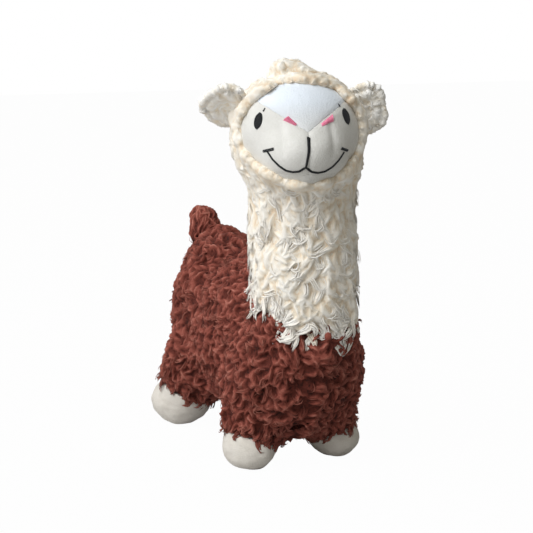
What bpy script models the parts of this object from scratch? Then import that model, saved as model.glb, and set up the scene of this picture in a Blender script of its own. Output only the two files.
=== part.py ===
"""A standing plush alpaca dog toy: furry body and neck, short-pile face and feet, stuffing, a squeaker.

The stuffing is a set of round masses melted together. A cover is the same shape grown by the thickness
of its cloth and pile, cut at the seams, with the room for the stuffing taken out of it.
The toy looks along -Y, its right side is at -X, and it stands on z = 0.
"""

import math

import bmesh
import bpy
from mathutils import Matrix, Vector, noise

# Clearances
GAP = 0.0003  # between pieces that touch
SEAM = 0.0004  # between two panels sewn edge to edge

# Cloths, backing and pile together
LONG_PILE = 0.0065
SHORT_PILE = 0.0025
TUFT_RELIEF = 0.0040  # depth of the hollows between tufts of long pile
TUFT_RISE = 0.0012  # how far the tufts stand above the even pile
TUFT_WIDTH = 0.0105
TUFT_LENGTH = 0.0190
SEAM_ROLL = 0.0070  # the pile lies lower this near to a foot's seam
SEAM_DIP = 0.0032

# Stance, at the middles of the feet
FRONT_FOOT = Vector((0.034, 0.044, 0.028))  # width, length, height of the stuffing
REAR_FOOT = Vector((0.038, 0.051, 0.033))
FOOT_TRACK = 0.068
REAR_TRACK = 0.078
FOOT_BASE = 0.120
FOOT_SHIFT = -0.004  # the middle of the four feet, from the origin
SOLE_CUT = 0.004  # how far a foot's round underside is pressed flat
LEG_SPLAY = math.radians(20)  # the leg leans out by this on its way down
FRONT_LEG_RAKE = math.radians(5)
REAR_LEG_RAKE = math.radians(14)
FRONT_LEG_RADIUS = 0.0160
REAR_LEG_RADIUS = 0.0180
FRONT_HIP_RADIUS = 0.027
REAR_HIP_RADIUS = 0.0255
HEEL = 0.008  # a rear leg stands this far ahead of the middle of its foot
HIP_HEIGHT = 0.056
FRONT_SEAM_HEIGHT = 0.0205  # where the foot's seam crosses the middle of the leg
REAR_SEAM_HEIGHT = 0.0270

# Trunk: middle and size of each mass of stuffing
CHEST = (Vector((0, -0.072, 0.070)), Vector((0.088, 0.070, 0.092)))
BARREL = (Vector((0, -0.014, 0.080)), Vector((0.084, 0.120, 0.112)))
RUMP = (Vector((0, 0.044, 0.092)), Vector((0.082, 0.070, 0.098)))
CROUP = (Vector((0, 0.060, 0.124)), Vector((0.046, 0.044, 0.040)))
GUSSET_HEIGHT = 0.041  # where the gusset's two seams would meet above the belly
GUSSET_SLOPE = math.radians(32)

# Neck
NECK_LOW = Vector((0.002, -0.081, 0.080))
NECK_TOP = Vector((0.0045, -0.070, 0.205))
NECK_RADIUS = 0.0315
NECK_SEAM = Vector((0, -0.118, 0.100))  # the seam's lowest point, at the front
NECK_SEAM_SLOPE = math.radians(28)

# Head, in its own frame: x to its left, y behind it, z up
HEAD_MIDDLE = Vector((0.0005, -0.072, 0.2335))
HEAD_TURN = math.radians(-19.5)  # to the toy's right
SKULL = (Vector((0, 0, 0)), Vector((0.080, 0.070, 0.073)))
MUZZLE = (Vector((0, -0.021, -0.010)), Vector((0.058, 0.069, 0.045)))
FACE_SEAM_Y = -0.007  # the hood's edge, level with the head's middle
FACE_SEAM_TILT = math.radians(22)
NOSE_HEIGHT = 0.0056  # where the forehead panel comes to its point
FOREHEAD_SLOPE = math.radians(31)
CHIN_SEAM = -0.0216
FACE_WIDTH = 0.083  # the hood's opening in the head's front view, a half ellipse below this level
FACE_LEVEL = 0.002
FACE_LOW = -0.0272
FACE_TOP = 0.0365

# Embroidery on the face, in the head's frame; x is given for the left side
THREAD = 0.0007  # how far it stands up
EYE_PLACE = {"right": Vector((0.0293, -0.0224, 0.0110)), "left": Vector((0.0283, -0.0224, 0.0136))}
EYE_ROLL = {"right": math.radians(9), "left": 0.0}
EYE_OUTWARD = Vector((0.74, -0.60, 0.28))
EYE_WIDTH = 0.0076
EYE_HEIGHT = 0.0108
LASH = {  # x and z of its ends
    "right": ((0.0266, 0.0177), (0.0254, 0.0194)),
    "left": ((0.0246, 0.0202), (0.0236, 0.0218)),
}
LASH_WIDTH = 0.0008
NOSTRIL = {"right": ((0.0071, 0.0098), (0.0129, 0.0136)), "left": ((0.0099, 0.0096), (0.0186, 0.0134))}
NOSTRIL_WIDTHS = (0.0016, 0.0036)  # at its inner and outer ends
PHILTRUM = ((-0.0004, 0.0026), (-0.0008, -0.0060), (-0.0026, -0.0155))
PHILTRUM_WIDTH = 0.0020
MOUTH = {
    "right": (
        (0.0034, -0.0167), (0.0068, -0.0190), (0.0107, -0.0196), (0.0148, -0.0187),
        (0.0190, -0.0159), (0.0228, -0.0120), (0.0254, -0.0078),
    ),
    "left": (
        (-0.0018, -0.0167), (0.0014, -0.0192), (0.0058, -0.0201), (0.0106, -0.0193),
        (0.0156, -0.0165), (0.0203, -0.0124), (0.0241, -0.0081),
    ),
}
MOUTH_WIDTH = 0.0014
MOUTH_CORNER = ((0.0222, -0.0053), (0.0278, -0.0077))
MOUTH_CORNER_WIDTH = 0.0017

# Ears, in the head's frame; x is given for the left side
EAR_PLACE = {"right": Vector((0.0495, 0.004, 0.0180)), "left": Vector((0.0450, 0.002, 0.0145))}
EAR_SIZE = Vector((0.034, 0.019, 0.039))
EAR_TAPER = 0.42  # how much its height falls towards the tip
EAR_PILE = 0.0045
EAR_LINING = 0.0015
EAR_RIM = 0.001  # how far the cup's rim is behind its middle
EAR_PITCH = {"right": math.radians(42), "left": math.radians(10)}  # the right one looks down
EAR_DROOP = {"right": math.radians(-2), "left": math.radians(27)}
EAR_TURN = math.radians(10)  # both look a little outward

# Topknot, in the head's frame, and tail
TOPKNOT = (
    (Vector((-0.008, 0.005, 0.0400)), Vector((0.030, 0.026, 0.025))),
    (Vector((0.009, 0.004, 0.0370)), Vector((0.027, 0.024, 0.018))),
)
TAIL_PLACE = Vector((-0.002, 0.085, 0.1430))
TAIL_SIZE = Vector((0.030, 0.021, 0.046))
TAIL_LEAN = math.radians(-28)  # backwards

# Squeaker, its mouth down, in a pocket that the stuffing is packed round
SQUEAKER_PLACE = Vector((0, -0.014, 0.078))
SQUEAKER_WIDTH = 0.040
SQUEAKER_HEIGHT = 0.024
SQUEAKER_WALL = 0.0014
REED_WIDTH = 0.0110
REED_LENGTH = 0.0070
REED_FLANGE_WIDTH = 0.0150
REED_FLANGE = 0.0015
REED_HOLE = 0.0024

# Mesh fineness
FUR_GRID = 0.0078
NAP_GRID = 0.0048
TUFT_GRID = 0.0056
STUFFING_GRID = 0.0125
MELT = 0.010  # how far the masses melt into each other
FUR_KEPT = 0.46  # share of the faces kept where the form is even enough
NAP_KEPT = 0.42
STUFFING_KEPT = 0.42

SIDES = {"right": -1, "left": 1}
ENDS = {"front": -1, "rear": 1}


def clear_scene():
    for found in list(bpy.data.objects):
        bpy.data.objects.remove(found)


def new_collection(name):
    made = bpy.data.collections.new(name)
    bpy.context.scene.collection.children.link(made)
    return made


def cloth(name, colour, roughness=0.95, metallic=0.0):
    made = bpy.data.materials.new(name)
    made.use_nodes = True
    shader = made.node_tree.nodes["Principled BSDF"]
    shader.inputs["Base Color"].default_value = (*colour, 1)
    shader.inputs["Roughness"].default_value = roughness
    shader.inputs["Metallic"].default_value = metallic
    return made


def object_from(bm, name, collection, material=None):
    bmesh.ops.recalc_face_normals(bm, faces=bm.faces)
    mesh = bpy.data.meshes.new(name)
    bm.to_mesh(mesh)
    bm.free()
    made = bpy.data.objects.new(name, mesh)
    collection.objects.link(made)
    if material:
        mesh.materials.append(material)
    else:
        made.hide_render = True
        made.display_type = "WIRE"
    return made


def triangulate(source):
    """So that a copy grown from it has the same creases."""
    bm = bmesh.new()
    bm.from_mesh(source.data)
    bmesh.ops.triangulate(bm, faces=bm.faces[:])
    bm.to_mesh(source.data)
    bm.free()


def thin_out(source, kept):
    """Joins faces where the form is even."""
    triangulate(source)
    step = source.modifiers.new("Thin", "DECIMATE")
    step.ratio = kept
    bake(source)


def bake(source):
    """Turns the object's modifiers into its mesh."""
    bpy.context.view_layer.update()
    graph = bpy.context.evaluated_depsgraph_get()
    mesh = bpy.data.meshes.new_from_object(source.evaluated_get(graph))
    source.modifiers.clear()
    source.data = mesh


def combine(target, other, operation):
    step = target.modifiers.new(operation.title(), "BOOLEAN")
    step.object = other
    step.operation = operation
    step.solver = "EXACT"
    bake(target)


def add_ball(bm, mass, grow, frame=None):
    """An ellipsoid from its middle and its width, depth and height."""
    middle, size = mass
    scale = Matrix.Diagonal((*(size / 2 + Vector((grow, grow, grow))), 1))
    place = (frame or Matrix()) @ Matrix.Translation(middle) @ scale
    bmesh.ops.create_uvsphere(bm, u_segments=20, v_segments=12, radius=1, matrix=place)


def add_post(bm, low, top, radius_low, radius_top):
    """A tapered round post between two points."""
    axis = top - low
    place = Matrix.Translation((low + top) / 2) @ axis.to_track_quat("Z", "Y").to_matrix().to_4x4()
    bmesh.ops.create_cone(
        bm, cap_ends=True, segments=32, radius1=radius_low, radius2=radius_top, depth=axis.length,
        matrix=place,
    )


def head_frame():
    return Matrix.Translation(HEAD_MIDDLE) @ Matrix.Rotation(HEAD_TURN, 4, "Z")


def foot_size(end):
    return REAR_FOOT if end > 0 else FRONT_FOOT


def foot_middle(side, end):
    track = REAR_TRACK if end > 0 else FOOT_TRACK
    height = foot_size(end).z / 2 + SHORT_PILE - SOLE_CUT
    return Vector((side * track / 2, FOOT_SHIFT + end * FOOT_BASE / 2, height))


def leg_foot(side, end):
    """Where the middle of the leg enters the foot."""
    return foot_middle(side, end) - Vector((0, HEEL if end > 0 else 0, 0))


def leg_direction(side, end):
    """Down the leg, towards the foot."""
    rake = REAR_LEG_RAKE if end > 0 else FRONT_LEG_RAKE
    return Vector((side * math.tan(LEG_SPLAY), end * math.tan(rake), -1)).normalized()


def at_height(start, direction, height):
    """The point at this height on the line through start."""
    return start + direction * ((height - start.z) / direction.z)


def add_leg(bm, side, end, grow):
    foot = foot_middle(side, end)
    low = leg_foot(side, end)
    hip = at_height(low, leg_direction(side, end), HIP_HEIGHT)
    radius = REAR_LEG_RADIUS if end > 0 else FRONT_LEG_RADIUS
    hip_radius = REAR_HIP_RADIUS if end > 0 else FRONT_HIP_RADIUS
    add_post(bm, low, hip, radius + grow, hip_radius + grow)
    add_ball(bm, (hip, Vector((2, 2, 2)) * hip_radius), grow)
    add_ball(bm, (foot, foot_size(end)), grow)


def melted_form(name, grow, grid, helpers):
    """All the masses, grown by this much and melted into one closed skin."""
    bm = bmesh.new()
    for mass in (CHEST, BARREL, RUMP, CROUP):
        add_ball(bm, mass, grow)
    for end in ENDS.values():
        for side in SIDES.values():
            add_leg(bm, side, end, grow)
    add_post(bm, NECK_LOW, NECK_TOP, NECK_RADIUS + grow, NECK_RADIUS + grow)
    for mass in (SKULL, MUZZLE):
        add_ball(bm, mass, grow, head_frame())
    form = object_from(bm, name, helpers)
    remesh = form.modifiers.new("Melt", "REMESH")
    remesh.mode = "VOXEL"
    remesh.voxel_size = grid
    smooth = form.modifiers.new("Smooth", "SMOOTH")
    smooth.factor = 0.5
    smooth.iterations = max(2, round(2 * (MELT / grid) ** 2))
    bake(form)
    triangulate(form)
    return form


def grown(source, distance, name, helpers):
    """The same skin moved outward by this distance."""
    triangulate(source)
    bm = bmesh.new()
    bm.from_mesh(source.data)
    bm.normal_update()
    for vert, normal in [(vert, vert.normal.copy()) for vert in bm.verts]:
        vert.co += normal * distance
    return object_from(bm, name, helpers)


def press_tufts(form, seams=()):
    """Sinks the hollows between tufts of long pile, which hang down, and the pile along seams."""
    bm = bmesh.new()
    bm.from_mesh(form.data)
    bm.normal_update()
    for vert, normal in [(vert, vert.normal.copy()) for vert in bm.verts]:
        place = Vector((vert.co.x / TUFT_WIDTH, vert.co.y / TUFT_WIDTH, vert.co.z / TUFT_LENGTH))
        hollow = min(1, max(0, 0.5 + noise.noise(place)))
        height = TUFT_RISE - TUFT_RELIEF * hollow
        for point, outward in seams:
            near = 1 - min(1, abs((vert.co - point).dot(outward)) / SEAM_ROLL)
            height -= (height + SEAM_DIP) * near
        vert.co += normal * height
    bm.to_mesh(form.data)
    bm.free()


def cut_panel(form, planes, name, collection, material=None):
    """The part of a closed form behind every plane, closed again at each cut."""
    bm = bmesh.new()
    bm.from_mesh(form.data)
    for point, outward in planes:
        everything = bm.verts[:] + bm.edges[:] + bm.faces[:]
        bmesh.ops.bisect_plane(
            bm, geom=everything, dist=0.00001, plane_co=point, plane_no=outward, clear_outer=True
        )
        bmesh.ops.holes_fill(bm, edges=[edge for edge in bm.edges if edge.is_boundary])
    return object_from(bm, name, collection, material)


def shifted(plane, distance):
    point, outward = plane
    return point + outward.normalized() * distance, outward


def inside(plane):
    """The near side of a seam, half the seam's gap away from it."""
    return shifted(plane, -SEAM / 2)


def beyond(plane):
    """The far side of the same seam."""
    point, outward = plane
    return inside((point, -outward))


# Seams
def neck_seam():
    return NECK_SEAM, Vector((0, -math.sin(NECK_SEAM_SLOPE), math.cos(NECK_SEAM_SLOPE)))


def foot_seam(side, end):
    """Its outward side is the foot."""
    height = REAR_SEAM_HEIGHT if end > 0 else FRONT_SEAM_HEIGHT
    direction = leg_direction(side, end)
    return at_height(leg_foot(side, end), direction, height), direction


def gusset_seam(side):
    """Its outward side is the flank."""
    return Vector((0, 0, GUSSET_HEIGHT)), Vector((side * math.sin(GUSSET_SLOPE), 0, math.cos(GUSSET_SLOPE)))


def middle_seam(side):
    """Its outward side is the other half."""
    return Vector(), Vector((-side, 0, 0))


def in_head(point, outward):
    frame = head_frame()
    return frame @ Vector(point), frame.to_3x3() @ Vector(outward)


def face_seam():
    """Its outward side is the hood."""
    return in_head((0, FACE_SEAM_Y, 0), (0, math.cos(FACE_SEAM_TILT), -math.sin(FACE_SEAM_TILT)))


def forehead_seam(side):
    """Its outward side is the cheek."""
    return in_head((0, 0, NOSE_HEIGHT), (side * math.sin(FOREHEAD_SLOPE), 0, -math.cos(FOREHEAD_SLOPE)))


def cheek_seam(side):
    """Its outward side is the other cheek."""
    return in_head((0, 0, 0), (-side, 0, 0))


def chin_seam():
    """Its outward side is the chin."""
    return in_head((0, 0, CHIN_SEAM), (0, 0, -1))


def face_block(clearance, helpers):
    """What the hood leaves open: in front of the face seam, inside a U in the head's front view."""
    bm = bmesh.new()
    across = Matrix.Rotation(math.pi / 2, 4, "X")
    bmesh.ops.create_cone(bm, cap_ends=True, segments=48, radius1=1, radius2=1, depth=0.2, matrix=across)
    low, high = FACE_LEVEL - FACE_LOW + clearance, FACE_TOP - FACE_LEVEL + clearance
    for vert in bm.verts:
        vert.co.x *= FACE_WIDTH / 2 + clearance
        vert.co.z *= low if vert.co.z < 0 else high
        vert.co.z += FACE_LEVEL
    bmesh.ops.transform(bm, matrix=head_frame(), verts=bm.verts)
    whole = object_from(bm, f"face_tube_{clearance}", helpers)
    return cut_panel(whole, [shifted(face_seam(), clearance)], f"face_block_{clearance}", helpers)


# Embroidery
def mirrored(points, side):
    return [(side * x, z) for x, z in points]


def ribbon(points, widths, name, helpers):
    """A wall that follows the points in the head's own front view, straight through the face."""
    frame = head_frame()
    near, far = -0.08, -0.004
    bm = bmesh.new()
    rows = []
    for index, (x, z) in enumerate(points):
        before = Vector(points[max(0, index - 1)])
        after = Vector(points[min(len(points) - 1, index + 1)])
        along = (after - before).normalized()
        half = Vector((-along.y, along.x)) * widths[min(index, len(widths) - 1)] / 2
        corners = ((near, 1), (near, -1), (far, -1), (far, 1))
        spots = [frame @ Vector((x + sign * half.x, y, z + sign * half.y)) for y, sign in corners]
        rows.append([bm.verts.new(spot) for spot in spots])
    for row, following in zip(rows, rows[1:]):
        for corner in range(4):
            other = (corner + 1) % 4
            bm.faces.new((row[corner], row[other], following[other], following[corner]))
    bm.faces.new(rows[0][::-1])
    bm.faces.new(rows[-1])
    return object_from(bm, name, helpers)


def eye_cutter(word, side, helpers):
    bm = bmesh.new()
    place = Vector((side * EYE_PLACE[word].x, EYE_PLACE[word].y, EYE_PLACE[word].z))
    outward = Vector((side * EYE_OUTWARD.x, EYE_OUTWARD.y, EYE_OUTWARD.z))
    turn = outward.to_track_quat("Z", "Y").to_matrix().to_4x4() @ Matrix.Rotation(EYE_ROLL[word], 4, "Z")
    matrix = head_frame() @ Matrix.Translation(place) @ turn
    bmesh.ops.create_cone(
        bm, cap_ends=True, segments=20, radius1=1, radius2=1, depth=0.016,
        matrix=matrix @ Matrix.Diagonal((EYE_WIDTH / 2, EYE_HEIGHT / 2, 1, 1)),
    )
    return object_from(bm, f"eye_cutter_{side}", helpers)


def stitched(cutter, over, under, name, collection, material):
    """Thread laid on the face within the cutter's outline."""
    bm = bmesh.new()
    bm.from_mesh(over.data)
    patch = object_from(bm, name, collection, material)
    combine(patch, cutter, "INTERSECT")
    combine(patch, under, "DIFFERENCE")
    return patch


def embroider_face(nap, helpers, toy, black, pink):
    behind = (head_frame() @ Vector((0, 0.01, 0)), Vector((0, 1, 0)))
    below = (Vector((0, 0, 0.19)), Vector((0, 0, -1)))
    front = cut_panel(nap, [behind, below], "thread_form", helpers)
    under = grown(front, GAP, "under_thread", helpers)
    over = grown(front, GAP + THREAD, "over_thread", helpers)
    for word, side in SIDES.items():
        stitched(eye_cutter(word, side, helpers), over, under, f"eye_{word}", toy, black)
        pieces = {
            f"eyelash_{word}": (LASH[word], (LASH_WIDTH,), black),
            f"nostril_{word}": (NOSTRIL[word], NOSTRIL_WIDTHS, pink),
            f"mouth_line_{word}": (MOUTH[word], (MOUTH_WIDTH,), black),
            f"mouth_corner_{word}": (MOUTH_CORNER, (MOUTH_CORNER_WIDTH,), black),
        }
        for name, (points, widths, material) in pieces.items():
            cutter = ribbon(mirrored(points, side), widths, f"{name}_cutter", helpers)
            stitched(cutter, over, under, name, toy, material)
    cutter = ribbon(PHILTRUM, (PHILTRUM_WIDTH,), "philtrum_cutter", helpers)
    stitched(cutter, over, under, "philtrum_line", toy, black)


# Ears, topknot and tail, each shaped to sit on the long pile
def ear_frame(word):
    side = SIDES[word]
    place = Vector((side * EAR_PLACE[word].x, EAR_PLACE[word].y, EAR_PLACE[word].z))
    turn = Matrix.Rotation(side * EAR_TURN, 4, "Z") @ Matrix.Rotation(side * EAR_DROOP[word], 4, "Y")
    return head_frame() @ Matrix.Translation(place) @ turn @ Matrix.Rotation(EAR_PITCH[word], 4, "X")


def ear_cup(word, shrink_out, shrink_in, name, seat, helpers, collection, material):
    """A cup between two ellipsoids, open towards its own front."""
    frame = ear_frame(word)
    shells = []
    for shrink in (shrink_out, shrink_in):
        bm = bmesh.new()
        half = EAR_SIZE / 2 - Vector((shrink, shrink, shrink))
        bmesh.ops.create_uvsphere(bm, u_segments=14, v_segments=8, radius=1)
        for vert in bm.verts:
            taper = 1 - EAR_TAPER * max(0, SIDES[word] * vert.co.x)
            vert.co = frame @ Vector((vert.co.x * half.x, vert.co.y * half.y, vert.co.z * half.z * taper))
        shells.append(object_from(bm, f"{name}_form_{shrink}", helpers))
    rim = (frame @ Vector((0, EAR_RIM, 0)), frame.to_3x3() @ Vector((0, -1, 0)))
    cup = cut_panel(shells[0], [rim], name, collection, material)
    combine(cup, shells[1], "DIFFERENCE")
    combine(cup, seat, "DIFFERENCE")
    return cup


def tuft_ball(masses, frame, name, seat, helpers, collection, material):
    """Round masses of long pile melted together, hollowed where they sit."""
    bm = bmesh.new()
    for mass in masses:
        add_ball(bm, mass, 0, frame)
    form = object_from(bm, name, collection, material)
    remesh = form.modifiers.new("Melt", "REMESH")
    remesh.mode = "VOXEL"
    remesh.voxel_size = TUFT_GRID
    bake(form)
    press_tufts(form)
    combine(form, seat, "DIFFERENCE")
    return form


def tail_frame():
    return Matrix.Translation(TAIL_PLACE) @ Matrix.Rotation(TAIL_LEAN, 4, "X")


# Squeaker
def squeaker_ball(grow, name, helpers, material=None):
    bm = bmesh.new()
    size = Vector((SQUEAKER_WIDTH, SQUEAKER_WIDTH, SQUEAKER_HEIGHT))
    add_ball(bm, (SQUEAKER_PLACE, size), grow)
    return object_from(bm, name, helpers, material)


def upright_cylinder(width, low, high, name, helpers, material=None):
    bm = bmesh.new()
    middle = Vector((SQUEAKER_PLACE.x, SQUEAKER_PLACE.y, (low + high) / 2))
    bmesh.ops.create_cone(
        bm, cap_ends=True, segments=24, radius1=width / 2, radius2=width / 2, depth=high - low,
        matrix=Matrix.Translation(middle),
    )
    return object_from(bm, name, helpers, material)


def add_squeaker(helpers, toy, rubber, hard):
    bottom = SQUEAKER_PLACE.z - SQUEAKER_HEIGHT / 2
    bladder = squeaker_ball(0, "squeaker_bladder", toy, rubber)
    combine(bladder, squeaker_ball(-SQUEAKER_WALL, "bladder_room", helpers), "DIFFERENCE")
    mouth = upright_cylinder(REED_WIDTH + 2 * GAP, bottom - 0.01, SQUEAKER_PLACE.z, "mouth_cutter", helpers)
    combine(bladder, mouth, "DIFFERENCE")
    reed_low = bottom - REED_FLANGE
    low, high = reed_low - REED_FLANGE / 2, reed_low + REED_FLANGE / 2
    reed = upright_cylinder(REED_WIDTH, high, reed_low + REED_LENGTH, "squeaker_reed", toy, hard)
    flange = upright_cylinder(REED_FLANGE_WIDTH, low, high, "flange_form", helpers)
    combine(reed, flange, "UNION")
    hole = upright_cylinder(REED_HOLE, reed_low - 0.01, reed_low + 0.02, "reed_hole_cutter", helpers)
    combine(reed, hole, "DIFFERENCE")


def pack_stuffing(core, helpers, toy, fibre):
    """The fibre, with a pocket that lets the squeaker in from the belly."""
    bm = bmesh.new()
    bm.from_mesh(core.data)
    stuffing = object_from(bm, "stuffing", toy, fibre)
    combine(stuffing, squeaker_ball(GAP, "pocket_top", helpers), "DIFFERENCE")
    shaft = upright_cylinder(SQUEAKER_WIDTH + 2 * GAP, -0.01, SQUEAKER_PLACE.z, "pocket_shaft", helpers)
    combine(stuffing, shaft, "DIFFERENCE")


def stand_on_origin(toy):
    """Moves the toy so that the middle of its outline on the floor is the origin."""
    corners = [vert.co for piece in toy.objects for vert in piece.data.vertices]
    middle = [(min(axis) + max(axis)) / 2 for axis in zip(*((co.x, co.y) for co in corners))]
    for piece in toy.objects:
        piece.data.transform(Matrix.Translation((-middle[0], -middle[1], 0)))


def main():
    clear_scene()
    helpers = new_collection("Patterns")
    toy = new_collection("Plush alpaca")
    brown = cloth("brown_long_pile", (0.150, 0.050, 0.033))
    cream = cloth("cream_long_pile", (0.800, 0.740, 0.640))
    white = cloth("white_short_pile", (0.800, 0.790, 0.770))
    lining = cloth("ear_lining_pile", (0.780, 0.730, 0.660))
    black = cloth("black_thread", (0.010, 0.011, 0.014), 0.6)
    pink = cloth("pink_thread", (0.850, 0.220, 0.380), 0.6)
    fibre = cloth("polyester_fibre", (0.850, 0.850, 0.850))
    rubber = cloth("squeaker_rubber", (0.700, 0.700, 0.680), 0.5)
    hard = cloth("squeaker_plastic", (0.750, 0.750, 0.730), 0.4)

    feet = [(side, end) for side in SIDES.values() for end in ENDS.values()]
    floor = (Vector(), Vector((0, 0, -1)))
    fur = melted_form("fur_form", LONG_PILE, FUR_GRID, helpers)
    press_tufts(fur, [foot_seam(side, end) for side, end in feet])
    thin_out(fur, FUR_KEPT)
    nap = melted_form("nap_form", SHORT_PILE, NAP_GRID, helpers)
    thin_out(nap, NAP_KEPT)
    core = melted_form("core_form", 0, STUFFING_GRID, helpers)
    thin_out(core, STUFFING_KEPT)
    core = cut_panel(core, [shifted(floor, -SHORT_PILE)], "stuffing_form", helpers)
    room = grown(core, GAP, "room_form", helpers)
    seat = grown(fur, GAP, "seat_form", helpers)

    def cover(form, planes, name, material):
        panel = cut_panel(form, planes, name, toy, material)
        combine(panel, room, "DIFFERENCE")
        return panel

    for word, side in SIDES.items():
        planes = [inside(middle_seam(side)), inside(neck_seam()), beyond(gusset_seam(side))]
        planes += [inside(foot_seam(side, end)) for end in ENDS.values()]
        cover(fur, planes, f"body_side_{word}", brown)
        for end_word, end in ENDS.items():
            lengthways = (Vector(), Vector((0, -end, 0)))
            planes = [beyond(foot_seam(side, end)), middle_seam(side), lengthways, floor]
            cover(nap, planes, f"foot_{end_word}_{word}", white)
    planes = [inside(gusset_seam(side)) for side in SIDES.values()]
    planes += [inside(foot_seam(side, end)) for side, end in feet]
    cover(fur, planes, "belly_gusset", brown)

    hood = cut_panel(fur, [beyond(neck_seam())], "hood_and_neck", toy, cream)
    combine(hood, face_block(SEAM, helpers), "DIFFERENCE")
    combine(hood, room, "DIFFERENCE")
    face = cut_panel(nap, [(NECK_TOP, Vector((0, 0, -1)))], "face_form", helpers)
    combine(face, face_block(0, helpers), "INTERSECT")
    cover(face, [inside(forehead_seam(side)) for side in SIDES.values()], "forehead_panel", white)
    for word, side in SIDES.items():
        planes = [inside(cheek_seam(side)), beyond(forehead_seam(side)), inside(chin_seam())]
        cover(face, planes, f"cheek_panel_{word}", white)
    cover(face, [beyond(chin_seam())], "chin_panel", white)

    embroider_face(nap, helpers, toy, black, pink)
    for word in SIDES:
        ear_cup(word, 0, EAR_PILE, f"ear_{word}", seat, helpers, toy, cream)
        front = EAR_PILE + GAP
        ear_cup(word, front, front + EAR_LINING, f"ear_lining_{word}", seat, helpers, toy, lining)
    tuft_ball(TOPKNOT, head_frame(), "topknot", seat, helpers, toy, cream)
    tuft_ball([(Vector(), TAIL_SIZE)], tail_frame(), "tail", seat, helpers, toy, brown)
    add_squeaker(helpers, toy, rubber, hard)
    pack_stuffing(core, helpers, toy, fibre)
    stand_on_origin(toy)


main()
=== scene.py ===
import math

import bmesh
import bpy
import numpy as np
from mathutils import Matrix, Quaternion, Vector, noise
from mathutils.bvhtree import BVHTree
from mathutils.kdtree import KDTree


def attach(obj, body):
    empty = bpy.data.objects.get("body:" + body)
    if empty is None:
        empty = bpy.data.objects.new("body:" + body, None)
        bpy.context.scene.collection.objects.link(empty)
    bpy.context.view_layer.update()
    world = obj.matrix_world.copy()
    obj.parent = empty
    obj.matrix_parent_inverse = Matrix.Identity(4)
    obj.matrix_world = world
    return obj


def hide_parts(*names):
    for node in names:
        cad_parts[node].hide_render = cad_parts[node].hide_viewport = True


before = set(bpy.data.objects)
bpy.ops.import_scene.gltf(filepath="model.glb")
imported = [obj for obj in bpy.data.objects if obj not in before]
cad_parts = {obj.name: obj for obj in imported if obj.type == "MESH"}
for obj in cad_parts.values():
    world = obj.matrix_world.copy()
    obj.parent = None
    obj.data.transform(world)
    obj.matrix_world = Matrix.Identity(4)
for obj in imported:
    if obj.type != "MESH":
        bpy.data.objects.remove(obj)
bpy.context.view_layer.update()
scene = bpy.context.scene
scene.view_settings.view_transform = "Standard"
noise.seed_set(7)  # so that each run grows the same pile

# the camera, at the photograph's angle
camera = {
    "target": (0.0108, 0.0147, 0.1280),
    "azimuth": -25.7,
    "elevation": 11.0,
    "distance": 1.0,
    "lens": 90.2,
}


def placeCamera(c):
    turn, lift = math.radians(c["azimuth"]), math.radians(c["elevation"])
    back = Vector((math.sin(turn) * math.cos(lift), -math.cos(turn) * math.cos(lift), math.sin(lift)))
    data = bpy.data.cameras.new("camera")
    data.lens = c["lens"]
    data.sensor_width = 36
    data.clip_start, data.clip_end = 0.05, 20
    made = bpy.data.objects.new("camera", data)
    made.location = Vector(c["target"]) + back * c["distance"]
    made.rotation_mode = "QUATERNION"
    made.rotation_quaternion = (-back).to_track_quat("-Z", "Y")
    scene.collection.objects.link(made)
    scene.camera = made


placeCamera(camera)


# shader writing
class Level:  # a socket that sums and products can be written with
    def __init__(self, nodes, socket):
        self.nodes, self.socket = nodes, socket

    def work(self, operation, other):
        return self.nodes.node("ShaderNodeMath", {"operation": operation}, {0: self, 1: other})

    def __add__(self, other):
        return self.work("ADD", other)

    def __sub__(self, other):
        return self.work("SUBTRACT", other)

    def __mul__(self, other):
        return self.work("MULTIPLY", other)

    def feed(self, socket):
        self.nodes.tree.links.new(self.socket, socket)


class Nodes:
    def __init__(self, tree):
        self.tree = tree

    def node(self, kind, settings=None, sockets=None, out=0):
        made = self.tree.nodes.new(kind)
        for key, value in (settings or {}).items():
            if key == "stops":
                elements = made.color_ramp.elements
                while len(elements) < len(value):
                    elements.new(0.5)
                for element, (place, colour) in zip(elements, value):
                    element.position, element.color = place, colour
            else:
                setattr(made, key, value)
        for key, value in (sockets or {}).items():
            if isinstance(value, Level):
                value.feed(made.inputs[key])
            else:
                made.inputs[key].default_value = value
        return Level(self, made.outputs[out])


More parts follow.
